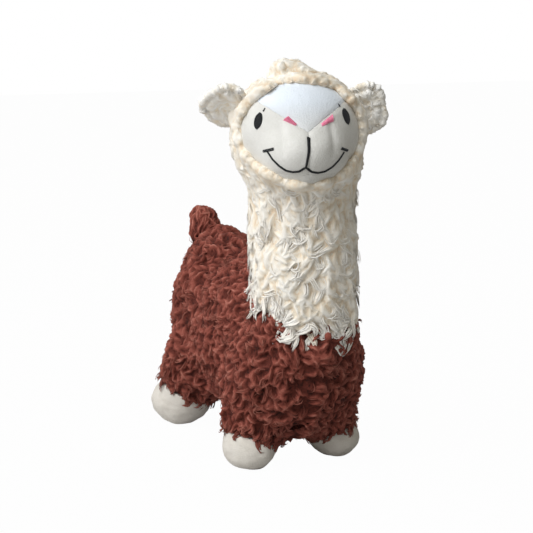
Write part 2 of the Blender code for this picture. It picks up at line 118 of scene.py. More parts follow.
class Finish(Nodes):
    def __init__(self, name, **fixed):
        self.material = bpy.data.materials.new(name)
        self.material.use_nodes = True
        super().__init__(self.material.node_tree)
        self.shader = self.tree.nodes["Principled BSDF"]
        for socket, value in fixed.items():
            self.shader.inputs[socket.replace("_", " ")].default_value = value

    def onObject(self):
        return self.node("ShaderNodeTexCoord", out="Object")

    def onMap(self, stretch):
        spot = self.node("ShaderNodeUVMap", {"uv_map": "OFBake"})
        return self.node("ShaderNodeMapping", {}, {"Vector": spot, "Scale": stretch})

    def grain(self, spot, scale, detail=2.0, roughness=0.5):
        return self.node(
            "ShaderNodeTexNoise", {}, {"Vector": spot, "Scale": scale, "Detail": detail, "Roughness": roughness}
        )

    def ramp(self, level, stops):
        return self.node("ShaderNodeValToRGB", {"stops": stops}, {"Fac": level})

    def mix(self, level, first, second):
        return self.node("ShaderNodeMix", {"data_type": "RGBA"}, {0: level, 6: first, 7: second}, out=2)

    def attribute(self, name, out="Fac"):
        return self.node("ShaderNodeAttribute", {"attribute_type": "GEOMETRY", "attribute_name": name}, out=out)

    def paint(self, colour):
        colour.feed(self.shader.inputs["Base Color"])

    def bump(self, height, distance, strength=1.0, normal=None):
        sockets = {"Height": height, "Distance": distance, "Strength": strength}
        if normal:
            sockets["Normal"] = normal
        self.node("ShaderNodeBump", {}, sockets).feed(self.shader.inputs["Normal"])


def screen(red, green, blue):  # 0 to 255 as a screen shows it, to what a shader takes
    parts = [v / 255 for v in (red, green, blue)]
    return (*[p / 12.92 if p <= 0.04045 else ((p + 0.055) / 1.055) ** 2.4 for p in parts], 1)


def furFinish(name, stops, streak, roughness, soft):
    made = Finish(name, Roughness=roughness, Specular_IOR_Level=0.2)
    fibres = made.grain(made.onMap((900, 90, 1)), 1.0, 2.0)
    tone = made.attribute("tone") + (fibres - 0.5) * streak
    made.paint(made.ramp(tone, stops))
    # a lock's fibres scatter light into each other, so the shading leans towards the body's own normal
    own = made.node("ShaderNodeNewGeometry", out="Normal")
    body = made.attribute("outward", "Vector")
    lean = made.node("ShaderNodeMix", {"data_type": "VECTOR"}, {0: soft, 4: own, 5: body}, out=1)
    lean = made.node("ShaderNodeVectorMath", {"operation": "NORMALIZE"}, {0: lean})
    made.bump(fibres, 0.00003, 0.3, lean)
    return made.material


def pileFinish(name, stops, streak, roughness, relief):  # follows the way the pile is combed
    made = Finish(name, Roughness=roughness, Specular_IOR_Level=0.2)
    fibres = made.grain(made.attribute("comb", "Vector"), 1.0, 3.0)
    made.paint(made.ramp(made.attribute("tone") + (fibres - 0.5) * streak, stops))
    made.bump(fibres, relief, 0.5)
    return made.material


def napFinish(name, light, shade, pile, seen=0.5, sheen=0.15, paintedSkyLight=None):
    made = Finish(name, Roughness=0.92, Specular_IOR_Level=0.2, Sheen_Weight=sheen, Sheen_Roughness=0.6)
    spot = made.onObject()
    tufts = made.grain(spot, 1 / pile, 3.0, 0.65)
    cloud = made.grain(spot, 70.0, 3.0)
    colour = made.mix(tufts * 0.55 + cloud * 0.65 - 0.1, shade, light)
    if paintedSkyLight:  # painted sky light: the colour turns lighter and bluer towards the top of the head
        height = made.node("ShaderNodeSeparateXYZ", {}, {0: spot}, out="Z")
        between = {"Value": height, "From Min": 0.240, "From Max": 0.262}
        level = made.node("ShaderNodeMapRange", {"interpolation_type": "SMOOTHSTEP"}, between)
        colour = made.mix(level, colour, paintedSkyLight)
    made.paint(colour)
    made.bump(tufts, pile * 0.5, seen)
    return made.material


def threadFinish(name, dark, light, roughness):
    made = Finish(name, Roughness=roughness)
    twist = made.grain(made.onMap((300, 60, 1)), 1.0, 2.0)
    made.paint(made.mix(twist * 0.6 + made.attribute("tone") * 0.4, dark, light))
    made.bump(twist, 0.00003, 0.5)
    return made.material


def shades(*stops):  # places along a ramp, each with its colour as a screen shows it
    return [(place, screen(*colour)) for place, colour in stops]


finishes = {
    # the fur and pile ramps run from the darker, warmer colours deep in the pile, painted shade, up to the
    # colours at the tips
    "brown": furFinish(
        "brown_fur", shades((0.0, (90, 40, 30)), (0.5, (134, 74, 62)), (1.0, (176, 114, 98))),
        0.4, 0.75, 0.4,
    ),
    "cream": furFinish(
        "cream_fur", shades((0.0, (241, 228, 208)), (0.4, (248, 242, 232)), (1.0, (253, 251, 247))),
        0.25, 0.7, 0.4,
    ),
    "brownPile": pileFinish(
        "brown_pile",
        shades((0.0, (30, 8, 4)), (0.3, (88, 36, 26)), (0.7, (146, 78, 65)), (1.0, (186, 122, 106))),
        0.8, 0.75, 0.0008,
    ),
    "creamPile": pileFinish(
        "cream_pile",
        shades((0.0, (226, 198, 166)), (0.3, (240, 226, 204)), (0.6, (247, 240, 228)), (1.0, (253, 250, 244))),
        0.45, 0.7, 0.0007,
    ),
    # painted light: the ears' pile is a lighter copy of the cream pile, standing in for the light the ears
    # catch and let through
    "earPaintedLightPile": pileFinish(
        "ear_pile_painted_light",
        shades((0.0, (240, 222, 196)), (0.3, (250, 242, 228)), (0.6, (253, 249, 242)), (1.0, (255, 253, 250))),
        0.45, 0.7, 0.0007,
    ),
    # the forehead's lighter, bluer top is painted sky light
    "forehead": napFinish(
        "forehead_plush", screen(225, 226, 226), screen(205, 206, 206), 0.0012, 0.9, paintedSkyLight=screen(236, 243, 252)
    ),
    "cheek": napFinish("cheek_plush", screen(234, 232, 228), screen(208, 206, 199), 0.0012, 0.9),
    "foot": napFinish("foot_plush", screen(232, 227, 219), screen(208, 200, 188), 0.0011, 0.7),
    "black": threadFinish("black_embroidery", screen(5, 6, 8), screen(24, 26, 30), 0.7),
    "pink": threadFinish("pink_embroidery", screen(255, 122, 164), screen(255, 174, 200), 0.7),
    "fibre": napFinish("stuffing_fibre", screen(238, 238, 238), screen(214, 214, 214), 0.003, 1.0),
    "rubber": napFinish("squeaker_rubber", screen(214, 214, 208), screen(190, 190, 184), 0.0004, 0.2, 0.0),
    "plastic": napFinish("squeaker_plastic", screen(236, 236, 234), screen(222, 222, 220), 0.0003, 0.1, 0.0),
}


# making pieces
def nodeCopy(*names):
    form = bmesh.new()
    for name in names:
        form.from_mesh(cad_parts[name].data)
    bmesh.ops.remove_doubles(form, verts=form.verts, dist=1e-6)
    return form


def treeOf(*names):
    form = nodeCopy(*names)
    tree = BVHTree.FromBMesh(form)
    form.free()
    return tree


def meshThrough(form, *steps):  # what modifiers make of a form
    mesh = bpy.data.meshes.new("working")
    form.to_mesh(mesh)
    form.free()
    holder = bpy.data.objects.new("working", mesh)
    scene.collection.objects.link(holder)
    for kind, settings in steps:
        step = holder.modifiers.new(kind, kind)
        for key, value in settings.items():
            setattr(step, key, value)
    bpy.context.view_layer.update()
    made = bpy.data.meshes.new_from_object(holder.evaluated_get(bpy.context.evaluated_depsgraph_get()))
    bpy.data.objects.remove(holder)
    return made


def formThrough(form, *steps):
    mesh = meshThrough(form, *steps)
    result = bmesh.new()
    result.from_mesh(mesh)
    bpy.data.meshes.remove(mesh)
    return result


def rounded(form, voxel, passes):
    melt = ("REMESH", {"mode": "VOXEL", "voxel_size": voxel})
    return formThrough(form, melt, ("SMOOTH", {"factor": 0.6, "iterations": passes}))


def finishPiece(made, name, finish, nodes=()):
    if isinstance(made, bmesh.types.BMesh):
        mesh = bpy.data.meshes.new(name)
        made.to_mesh(mesh)
        made.free()
    else:
        mesh = made
        mesh.name = name
    mesh.polygons.foreach_set("use_smooth", [True] * len(mesh.polygons))
    mesh.materials.clear()
    mesh.materials.append(finishes[finish])
    piece = bpy.data.objects.new(name, mesh)
    scene.collection.objects.link(piece)
    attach(piece, "root")
    if nodes:
        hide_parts(*nodes)
    return piece


# strands: one small tapered shape, copied and laid along paths
def strandShape(rings):
    form = bmesh.new()
    bmesh.ops.create_cone(
        form, cap_ends=True, cap_tris=True, segments=3, radius1=1, radius2=0, depth=rings,
        matrix=Matrix.Translation((0, 0, rings / 2)),
    )
    bmesh.ops.remove_doubles(form, verts=form.verts, dist=1e-4)
    for ring in range(1, rings):
        everything = form.verts[:] + form.edges[:] + form.faces[:]
        bmesh.ops.bisect_plane(form, geom=everything, plane_co=(0, 0, ring), plane_no=(0, 0, 1), dist=1e-5)
    bmesh.ops.recalc_face_normals(form, faces=form.faces)
    layer = form.loops.layers.uv.new("OFBake")
    for face in form.faces:
        middle = face.calc_center_median()
        around = math.degrees(math.atan2(middle.y, middle.x)) % 360
        for loop in face.loops:
            x, y, z = loop.vert.co
            if abs(face.normal.z) > 0.99:
                loop[layer].uv = (0.1 + 0.03 * x, 0.03 + 0.02 * y)
                continue
            turn = 0.0 if z > rings - 0.5 else (math.degrees(math.atan2(y, x)) - around + 180) % 360 - 180
            across = (around // 120 + 0.5 + turn / 120) / 3
            loop[layer].uv = (0.06 + 0.88 * across, 0.08 + 0.88 * z / rings)
    return form


def unit(vectors):
    return vectors / np.maximum(np.linalg.norm(vectors, axis=-1, keepdims=True), 1e-9)


def layStrands(name, paths, ups, widths, tones, finish, slot, flat=0.28, nodes=()):
    count, rings = paths.shape[0], paths.shape[1] - 1
    mesh = meshThrough(strandShape(rings), ("ARRAY", {"count": count, "use_relative_offset": False}))
    spots = np.empty(len(mesh.vertices) * 3, np.float32)
    mesh.vertices.foreach_get("co", spots)
    one = spots.reshape(count, -1, 3)[0]
    ring = np.clip(np.rint(one[:, 2]).astype(int), 0, rings)
    turn = one[:, :2] / np.maximum(np.hypot(one[:, 0], one[:, 1]), 1e-6)[:, None]
    turn[ring == rings] = 0
    along = unit(np.gradient(paths, axis=1))
    side = unit(np.cross(ups, along))
    up = np.cross(along, side)
    half = widths[:, ring, None] / 2
    spots = paths[:, ring] + side[:, ring] * turn[:, :1] * half + up[:, ring] * turn[:, 1:] * half * flat
    mesh.vertices.foreach_set("co", spots.astype(np.float32).ravel())
    tone = mesh.attributes.new("tone", "FLOAT", "POINT")
    tone.data.foreach_set("value", tones[:, ring].astype(np.float32).ravel())
    outward = mesh.attributes.new("outward", "FLOAT_VECTOR", "POINT")
    outward.data.foreach_set("vector", ups[:, ring].astype(np.float32).ravel())
    cells = math.ceil(math.sqrt(count))
    corners = np.empty(len(mesh.loops) * 2, np.float32)
    mesh.uv_layers["OFBake"].data.foreach_get("uv", corners)
    cell = np.stack([np.arange(count) % cells, np.arange(count) // cells], 1)[:, None, :]
    corners = (corners.reshape(count, -1, 2) + cell) / cells
    mesh.uv_layers["OFBake"].data.foreach_set("uv", corners.astype(np.float32).ravel())
    mesh.update()
    return finishPiece(mesh, name, finish, nodes)


# fur
def groundOf(form, voxel, passes, sink=0.0):  # the cloth that the pile is knitted into
    made = rounded(form, voxel, passes)
    if sink:
        made.normal_update()
        for vert in made.verts:
            vert.co -= vert.normal * sink
    tree = BVHTree.FromBMesh(made)
    made.free()
    return tree


sowing = {"tries": 5, "leastPile": 0.0015, "leastFacing": 0.25, "fullness": (0.55, 1.35)}


def scatter(names, ground, spacing, pile, seed):  # where each lock starts, and how full the pile is there
    form = nodeCopy(*names)
    bmesh.ops.triangulate(form, faces=form.faces[:])
    corners = np.array([[v.co for v in face.verts] for face in form.faces])
    form.free()
    across = np.cross(corners[:, 1] - corners[:, 0], corners[:, 2] - corners[:, 0])
    area = np.linalg.norm(across, axis=1) / 2
    rng = np.random.default_rng(seed)
    tries = int(area.sum() / spacing**2 * sowing["tries"])
    picked = rng.choice(len(area), tries, p=area / area.sum())
    root, share = np.sqrt(rng.random(tries))[:, None], rng.random(tries)[:, None]
    first, second, third = (corners[picked, i] for i in range(3))
    points = first * (1 - root) + second * root * (1 - share) + third * root * share
    taken, starts = {}, []
    steps = [(i, j, k) for i in (-1, 0, 1) for j in (-1, 0, 1) for k in (-1, 0, 1)]
    for point, facing in zip(points, unit(across)[picked]):
        point, cell = Vector(point), tuple(np.floor(point / spacing).astype(int))
        near = (taken.get((cell[0] + i, cell[1] + j, cell[2] + k)) for i, j, k in steps)
        if any(other is not None and (other - point).length < spacing for other in near):
            continue
        spot, _, _, gap = ground.find_nearest(point)
        away = (point - spot).normalized()
        if gap < sowing["leastPile"] or away.dot(Vector(facing)) < sowing["leastFacing"]:
            continue
        taken[cell] = point
        least, most = sowing["fullness"]
        starts.append((point, min(most, max(least, gap / pile))))
    return starts


def growLocks(starts, ground, way, fur, rng):
    rise = fur["rise"]
    steps = len(rise) - 1
    paths, ups = np.zeros((len(starts), steps + 1, 3)), np.zeros((len(starts), steps + 1, 3))
    for index, (point, full) in enumerate(starts):
        spot = ground.find_nearest(point)[0]
        up = (point - spot).normalized()
        heading = Vector(way(point, up))
        heading = Quaternion(up, rng.normal(0, fur["scatter"])) @ (heading - up * heading.dot(up)).normalized()
        stride = fur["length"] * rng.uniform(0.7, 1.2) / steps
        curl = rng.choice((-1, 1)) * fur["curl"] * rng.uniform(0.3, 1.5)
        phase = rng.uniform(0, 2 * math.pi)
        lift = full * rng.uniform(*fur["lift"])
        for step in range(steps + 1):
            spot, _, _, gap = ground.find_nearest(point)
            if gap > 1e-4:
                up = (point - spot).normalized()
            paths[index, step] = spot + up * rise[step] * (lift if step else 1)
            ups[index, step] = up
            heading = (heading - up * heading.dot(up)).normalized()
            bend = curl * (step / steps) + fur["wave"] * math.sin(phase + step * fur["waves"])
            heading = Quaternion(up, bend) @ heading
            point = spot + up * rise[min(step + 1, steps)] + heading * stride
    return paths, ups


def splitLocks(paths, ups, fur, rng):
    count, marks = paths.shape[:2]
    per = fur["strands"]
    t = np.linspace(0, 1, marks)
    reach = rng.uniform(fur["shortest"], 1.0, (count, per, 1)) * t * (marks - 1)
    low = np.clip(np.floor(reach).astype(int), 0, marks - 2)
    part = (reach - low)[..., None]
    rows = np.arange(count)[:, None, None]
    line = paths[rows, low] * (1 - part) + paths[rows, low + 1] * part
    up = unit(ups[rows, low] * (1 - part) + ups[rows, low + 1] * part)
    along = unit(np.gradient(line, axis=2))
    side = unit(np.cross(up, along))
    hold = 1 - fur["pinch"] * t**1.2
    radius = fur["spread"] * np.sqrt(rng.random((count, per, 1)))
    angle = rng.uniform(0, 2 * math.pi, (count, per, 1))
    wobble = np.sin(rng.uniform(0, 6.28, (count, per, 1)) + t * fur["ripples"]) * fur["ripple"] * t
    sideways = radius * np.cos(angle) * hold + wobble
    ahead = radius * np.sin(angle) * hold
    height = rng.normal(0, fur["loose"], (count, per, 1)) * np.minimum(1, t * 3)
    line = line + side * sideways[..., None] + along[:, :, :1] * ahead[..., None] + up * height[..., None]
    girth = np.interp(t, (0, 0.2, 0.6, 0.85, 1), (0.3, 0.8, 1, 0.7, 0.2))
    widths = fur["width"] * rng.uniform(0.7, 1.3, (count, per, 1)) * girth
    # painted shade: strands are darker towards their roots and where they lie lower in the lock, with random
    # tone per lock and per strand
    tones = 0.18 + 0.5 * t**0.9 + rng.normal(0, 0.09, (count, 1, 1)) + rng.normal(0, 0.08, (count, per, 1))
    tones = tones + height * 60
    shape = (count * per, marks)
    return line.reshape(*shape, 3), up.reshape(*shape, 3), widths.reshape(shape), tones.reshape(shape)


def growPile(names, ground, way, fur, seed):
    rng = np.random.default_rng(seed)
    starts = scatter(names, ground, fur["spacing"], fur["pile"], seed)
    print(names[0], "locks", len(starts))
    return growLocks(starts, ground, way, fur, rng)


def furPiece(name, locks, fur, finish, slot, seed, keep=None):  # loose tips that stand off the combed pile
    rng = np.random.default_rng(seed)
    paths, ups = locks
    if keep:
        chosen = [keep(Vector(path[0])) for path in paths]
        paths, ups = paths[chosen], ups[chosen]
    parts = splitLocks(paths, ups, fur, rng)
    order = rng.permutation(len(parts[0]))
    most = 199000 // (6 * (parts[0].shape[1] - 2) + 4)
    chunks = math.ceil(len(order) / most)
    for number, chosen in enumerate(np.array_split(order, chunks), 1):
        label = name if chunks == 1 else f"{name}_{number}"
        layStrands(label, *(part[chosen] for part in parts), finish, slot)
    print(name, "strands", len(order), "pieces", chunks)


def stepped(locks, steps):  # the locks' lines in finer steps
    paths, ups = locks
    marks = paths.shape[1]
    t = np.linspace(0, 1, (marks - 1) * steps + 1)
    low = np.minimum((t * (marks - 1)).astype(int), marks - 2)
    part = (t * (marks - 1) - low)[:, None]
    spots = paths[:, low] * (1 - part) + paths[:, low + 1] * part
    out = unit(ups[:, low] * (1 - part) + ups[:, low + 1] * part)
    along = unit(np.gradient(spots, axis=1))
    return t, spots, along, unit(np.cross(out, along))


def nearestSteps(spots, verts, most):  # for each vertex, the locks near it and the step on each
    count, fine = spots.shape[:2]
    tree = KDTree(count * fine)
    for index, spot in enumerate(spots.reshape(-1, 3)):
        tree.insert(spot, index)
    tree.balance()
    near = np.array([[hit[1] for hit in tree.find_n(vert, most)] for vert in verts])
    return near // fine, near % fine


def settle(form, state, weight, passes):  # evens out each vertex's row of values with its neighbours
    form.verts.index_update()
    ends = np.array([[v.index for v in edge.verts] for edge in form.edges])
    ends = ends[weight[ends].max(1) > 0]
    vert, other = np.concatenate([ends, ends[:, ::-1]]).T
    count, width = state.shape
    joined = np.maximum(np.bincount(vert, minlength=count), 1)
    for _ in range(passes):
        total = np.stack([np.bincount(vert, state[other, i], count) for i in range(width)], 1)
        state = state + (total / joined[:, None] - state) * weight[:, None]
    return state


combing = {
    "steps": 4, "reach": 0.0016, "rim": 0.002, "stand": (0.6, 1.0), "still": 0.7, "bare": 0.03,
    "tone": (0.12, 0.75, 0.06), "brushed": (5, 3, 0.37), "nap": ((300, 1.0), (620, 0.6)), "napPaintedShade": 0.5,
}


# the pile's own outside, in relief
def combPiece(node, name, ground, locks, comb, finish, seed, fuller=None):
    form = rounded(nodeCopy(node), comb["voxel"], 2)
    form.normal_update()
    rng = np.random.default_rng(seed)
    t, spots, along, side = stepped(locks, combing["steps"])
    count = len(spots)
    verts = np.array([v.co for v in form.verts])
    normals = np.array([v.normal for v in form.verts])
    gaps = np.array([ground.find_nearest(v.co)[3] for v in form.verts])
    shown = np.nonzero(gaps > comb["inner"])[0]
    lock, step = nearestSteps(spots, verts[shown], comb["near"])

    # each lock is a dome across and along, with grooves between its fibres
    away = verts[shown][:, None, :] - spots[lock, step]
    across = (away * side[lock, step]).sum(-1)
    ahead = (away * along[lock, step]).sum(-1)
    girth = comb["width"] * (0.3 + 0.7 * np.sin(math.pi * np.clip(t * 0.8 + 0.12, 0, 1)))[step]
    u = across / girth
    dome = np.clip(1 - np.abs(u) ** 1.5, 0, 1) ** 0.8 * np.exp(-((ahead / combing["reach"]) ** 2))
    stand, phase = rng.uniform(*combing["stand"], count), rng.uniform(0, 6.28, count)
    groove = comb["groove"] * np.cos(u * comb["grooves"] + phase[lock] + t[step] * 2)
    height = dome * (np.sin(math.pi * t**1.2)[step] * stand[lock] * comb["height"] + groove)
    best = height.argmax(1)
    rows = np.arange(len(shown))
    top = height[rows, best]
    lift = np.clip((gaps[shown] - comb["inner"]) / combing["rim"], 0, 1)
    more = np.array([fuller(Vector(verts[i])) for i in shown]) if fuller else np.array([[0.0, 1.0]])
    verts[shown] += normals[shown] * (((top - comb["sink"]) * more[:, 1] + more[:, 0]) * lift)[:, None]

    # painted shade: the pile is darker where its relief lies low and lighter on the locks' crests, bare ground
    # takes the edge tone, with random tone per lock
    base, gain, spread = combing["tone"]
    tones = np.full(len(verts), comb["edge"])
    own = base + gain * np.clip(top / comb["height"], 0, 1) + rng.normal(0, spread, count)[lock[rows, best]]
    tones[shown] = np.where(top < combing["bare"] * comb["height"], comb["edge"], own)
    if more[:, 1].min() < 1:  # where the pile is calm, it is evened out and given a short nap
        weight = np.zeros(len(verts))
        weight[shown] = combing["still"] * (1 - more[:, 1])
        even = settle(form, np.column_stack([verts, tones]), weight, comb["settle"])
        verts, tones = even[:, :3], even[:, 3]
        nap = [sum(part * noise.noise(Vector(v) * scale) for scale, part in combing["nap"]) for v in verts]
        nap = np.array(nap) * weight
        verts += normals * (nap * comb["nap"])[:, None]
        # painted shade: the nap's raised bits are made lighter and its dips darker
        tones = np.clip(tones + nap * combing["napPaintedShade"], 0, 1)

    brushed = np.zeros((len(verts), 3))
    where = (u[rows, best], t[step[rows, best]], lock[rows, best])
    for axis, (value, scale) in enumerate(zip(where, combing["brushed"])):
        brushed[shown, axis] = value * scale
    mesh = bpy.data.meshes.new(name)
    form.to_mesh(mesh)
    form.free()
    mesh.vertices.foreach_set("co", verts.astype(np.float32).ravel())
    mesh.attributes.new("tone", "FLOAT", "POINT").data.foreach_set("value", tones.astype(np.float32))
    combed = mesh.attributes.new("comb", "FLOAT_VECTOR", "POINT")
    combed.data.foreach_set("vector", brushed.astype(np.float32).ravel())
    print(name, "triangles", len(mesh.polygons) * 2)
    return finishPiece(mesh, name, finish, (node,))


core = groundOf(nodeCopy("stuffing"), 0.003, 8)
print("ground ready")

brownComb = {
    "voxel": 0.00110, "inner": 0.0030, "near": 30, "width": 0.0021, "height": 0.0034,
    "groove": 0.0006, "grooves": 5.5, "sink": 0.0019, "edge": 0.3,
}
creamComb = {
    "voxel": 0.00108, "inner": 0.0020, "near": 30, "width": 0.0027, "height": 0.0024,
    "groove": 0.0004, "grooves": 6.0, "sink": 0.0013, "edge": 0.5, "settle": 7, "nap": 0.0011,
}
brownFur = {
    "spacing": 0.0036, "pile": 0.0065, "strands": 2, "length": 0.0125,
    "rise": (0.0038, 0.0054, 0.0064, 0.0070, 0.0068), "lift": (0.88, 1.12),
    "width": 0.0012, "spread": 0.0020, "pinch": 0.5, "shortest": 0.6, "loose": 0.0002,
    "curl": 1.1, "wave": 0.35, "waves": 1.6, "scatter": 0.85, "ripple": 0.0004, "ripples": 4.0,
}
brownTuft = {
    **brownFur, "strands": 6, "pinch": 0.8, "spread": 0.0026,
    "rise": (0.0046, 0.0058, 0.0066, 0.0072, 0.0072),
}
creamFur = {
    "spacing": 0.0040, "pile": 0.0065, "strands": 3, "length": 0.0200,
    "rise": (0.0038, 0.0052, 0.0062, 0.0067, 0.0068, 0.0064), "lift": (0.92, 1.08),
    "width": 0.0012, "spread": 0.0026, "pinch": 0.5, "shortest": 0.6, "loose": 0.0002,
    "curl": 0.8, "wave": 0.5, "waves": 1.7, "scatter": 0.45, "ripple": 0.0004, "ripples": 5.0,
}
creamTuft = {
    **creamFur, "strands": 10, "pinch": 0.8, "spread": 0.0034, "width": 0.0014, "length": 0.0150,
    "rise": (0.0048, 0.0060, 0.0068, 0.0073, 0.0076, 0.0074),
}

headPlace = Matrix.Translation((0.00038, -0.05751, 0.2335)) @ Matrix.Rotation(math.radians(-19.5), 4, "Z")
fromHead = headPlace.inverted()


def smoothStep(value, low, high):
    t = min(1, max(0, (value - low) / (high - low)))
    return t * t * (3 - 2 * t)


def bodyWay(point, up):
    flank = Vector((0, 0.45, -1))
    chest = Vector((1, 0, -0.25)) if point.x > -0.014 else Vector((-0.7, 0.2, -1))
    back = Vector((0, 1, -0.1))
    way = flank.lerp(chest, 1 - smoothStep(point.y, -0.085, -0.06))
    way = way.lerp(back, smoothStep(up.z, 0.5, 0.9))
    return way + noise.noise_vector(point * 60) * 1.1


def neckWay(point, up):
    spot = fromHead @ point
    down = Vector((0, 0, -1))
    crown = headPlace.to_3x3() @ Vector((spot.x * 12, 0.5, -0.4))
    return down.lerp(crown, smoothStep(spot.z, 0.0, 0.03)) + noise.noise_vector(point * 50) * 0.55


bodyNodes = ("body_side_left", "body_side_right", "belly_gusset")
bodyLocks = growPile(bodyNodes, core, bodyWay, brownFur, 11)


def bodyFuller(point):  # the pile of both side panels meets over the seam between them
    return 0.0024 * math.exp(-((point.x / 0.006) ** 2)) * smoothStep(point.z, 0.04, 0.06), 1.0


def bySeam(point):
    return abs(point.x) < 0.0035 and point.z > 0.05


for node in bodyNodes:
    combPiece(node, node + "_pile", core, bodyLocks, brownComb, "brownPile", 31, bodyFuller)
faceNodes = ("forehead_panel", "cheek_panel_left", "cheek_panel_right", "chin_panel")
feetTree = treeOf("foot_front_left", "foot_front_right", "foot_rear_left", "foot_rear_right")
bodyTree = treeOf(*bodyNodes)
faceTree = treeOf(*faceNodes)


def byFeet(point):
    return feetTree.find_nearest(point)[3] < 0.011


def byBody(point):
    return bodyTree.find_nearest(point)[3] < 0.013


furPiece("body_tips", bodyLocks, brownFur, "brown", "brown_long_pile", 41)
furPiece("leg_hem_tufts", bodyLocks, brownTuft, "brown", "brown_long_pile", 44, byFeet)
furPiece("back_seam_tufts", bodyLocks, brownTuft, "brown", "brown_long_pile", 49, bySeam)


def hoodFuller(point):  # the hood's pile stands out most beside the forehead and at the ears
    spot = fromHead @ point
    high = smoothStep(spot.z, 0.000, 0.018) * (1 - smoothStep(spot.z, 0.040, 0.052))
    low = smoothStep(spot.z, -0.045, -0.02) * (1 - smoothStep(spot.z, 0.0, 0.02))
    fromFace = faceTree.find_nearest(point)[3]
    high, low = high * smoothStep(abs(spot.x), 0.008, 0.022), low * smoothStep(abs(spot.x), 0.02, 0.032)
    edge = (0.0024 + 0.0022 * noise.noise(point * 130)) * (1 - smoothStep(fromFace, 0.002, 0.009))
    calm = smoothStep(fromFace, 0.0030, 0.0080)
    return (0.0062 * high + 0.0034 * low) * smoothStep(fromFace, 0.002, 0.011) + edge, calm


def onNeck(point):
    return point.z < 0.205


neckLocks = growPile(("hood_and_neck",), core, neckWay, creamFur, 12)
combPiece(
    "hood_and_neck", "hood_and_neck_pile", core, neckLocks, creamComb,
    "creamPile", 32, hoodFuller,
)
furPiece("neck_tips", neckLocks, creamFur, "cream", "cream_long_pile", 42, onNeck)
furPiece("neck_hem_tufts", neckLocks, creamTuft, "cream", "cream_long_pile", 45, byBody)
print("body and neck combed")

# tail, topknot and ears: their own ground, a little inside their outline
tailFur = {
    **brownFur, "spacing": 0.0032, "length": 0.0130, "pile": 0.004,
    "rise": (0.0020, 0.0030, 0.0038, 0.0042, 0.0040), "curl": 0.4, "scatter": 0.3,
}
knotFur = {
    **creamFur, "spacing": 0.0034, "length": 0.0110, "pile": 0.004,
    "rise": (0.0020, 0.0030, 0.0036, 0.0040, 0.0040, 0.0038), "curl": 0.9, "scatter": 0.6,
}
earFur = {
    **creamFur, "spacing": 0.0032, "length": 0.0110, "pile": 0.0022,
    "rise": (0.0012, 0.0018, 0.0022, 0.0024, 0.0022, 0.0018), "curl": 1.0, "scatter": 0.7,
}
earTips = {
    **earFur, "strands": 5, "width": 0.0010, "pinch": 0.7,
    "rise": (0.0022, 0.0036, 0.0044, 0.0050, 0.0052, 0.0050),
}
smallComb = {"voxel": 0.0008, "inner": 0.0010, "width": 0.0024, "height": 0.0018, "sink": 0.0004}
earComb = {
    **creamComb, "voxel": 0.0007, "inner": 0.0004, "width": 0.0026, "height": 0.0019,
    "sink": 0.0002, "edge": 0.6,
}
tailGround = groundOf(nodeCopy("tail"), 0.0022, 6, 0.0036)
knotGround = groundOf(nodeCopy("topknot"), 0.0022, 6, 0.0036)


def tailWay(point, up):
    return Vector((0, 0.25, 1)) + noise.noise_vector(point * 60) * 0.5


def knotWay(point, up):
    spot = fromHead @ point
    return headPlace.to_3x3() @ Vector((spot.x * 30, 0.1, 0.5)) + noise.noise_vector(point * 90) * 1.0


def earWay(side):
    def way(point, up):
        return headPlace.to_3x3() @ Vector((side * 1.0, 0, -0.5)) + noise.noise_vector(point * 80) * 0.8
    return way


def earFuller(point):
    return 0.0020, 1.0


tailLocks = growPile(("tail",), tailGround, tailWay, tailFur, 13)
tailComb = {**brownComb, **smallComb}
combPiece("tail", "tail_pile", tailGround, tailLocks, tailComb, "brownPile", 33)
furPiece("tail_tips", tailLocks, tailFur, "brown", "brown_long_pile", 43)
knotLocks = growPile(("topknot",), knotGround, knotWay, knotFur, 14)
knotComb = {**creamComb, **smallComb}
combPiece("topknot", "topknot_pile", knotGround, knotLocks, knotComb, "creamPile", 34)
for word, side in (("left", 1), ("right", -1)):
    earGround = groundOf(nodeCopy(f"ear_{word}"), 0.0016, 4, 0.0018)
    earLocks = growPile((f"ear_{word}", f"ear_lining_{word}"), earGround, earWay(side), earFur, 15 + side)
    for node, slot in ((f"ear_{word}", "cream_long_pile"), (f"ear_lining_{word}", "ear_lining_pile")):
        # both ear pieces take the lighter pile, painted light
        combPiece(node, node + "_pile", earGround, earLocks, earComb, "earPaintedLightPile", 35, earFuller)
    furPiece(f"ear_{word}_tips", earLocks, earTips, "cream", "cream_long_pile", 46 + side)
print("tail, topknot and ears combed")

# feet
feet = {"voxel": 0.0015, "passes": 7, "dents": ((85, 85, 0.0010), (140, 320, 0.0004))}
for end in ("front", "rear"):
    for word in ("left", "right"):
        foot = rounded(nodeCopy(f"foot_{end}_{word}"), feet["voxel"], feet["passes"])
        foot.normal_update()
        for vert in foot.verts:
            x, y, z = vert.co
            dent = 0
            for flat, tall, deep in feet["dents"]:
                dent += noise.noise(Vector((x * flat, y * flat, z * tall))) * deep
            vert.co += vert.normal * dent
        finishPiece(foot, f"foot_{end}_{word}_plush", "foot", (f"foot_{end}_{word}",))
print("feet")

# face
face = {
    "voxel": 0.0013, "passes": 10, "swell": 0.0005, "thick": 0.0018,
    "noseHeight": 0.0056, "foreheadSlope": 31.0, "chinSeam": -0.0216,
    "seamDepth": 0.0006, "seamWidth": 0.0016,
    "creasePlace": 0.0165, "creaseDepth": 0.0012, "creaseWidth": 0.0026,
    "creaseReach": (-0.012, -0.004, 0.008, 0.014),
    "puffDepth": 0.0014, "puffWidth": 0.0065, "puffHeight": 0.008, "puffPlace": (0.0085, -0.005),
    "chinPuff": 0.0016, "chinWidth": 0.0065, "chinHeight": 0.0045, "chinPlace": -0.0255,
}


def hill(distance, width):
    return math.exp(-((distance / width) ** 2))


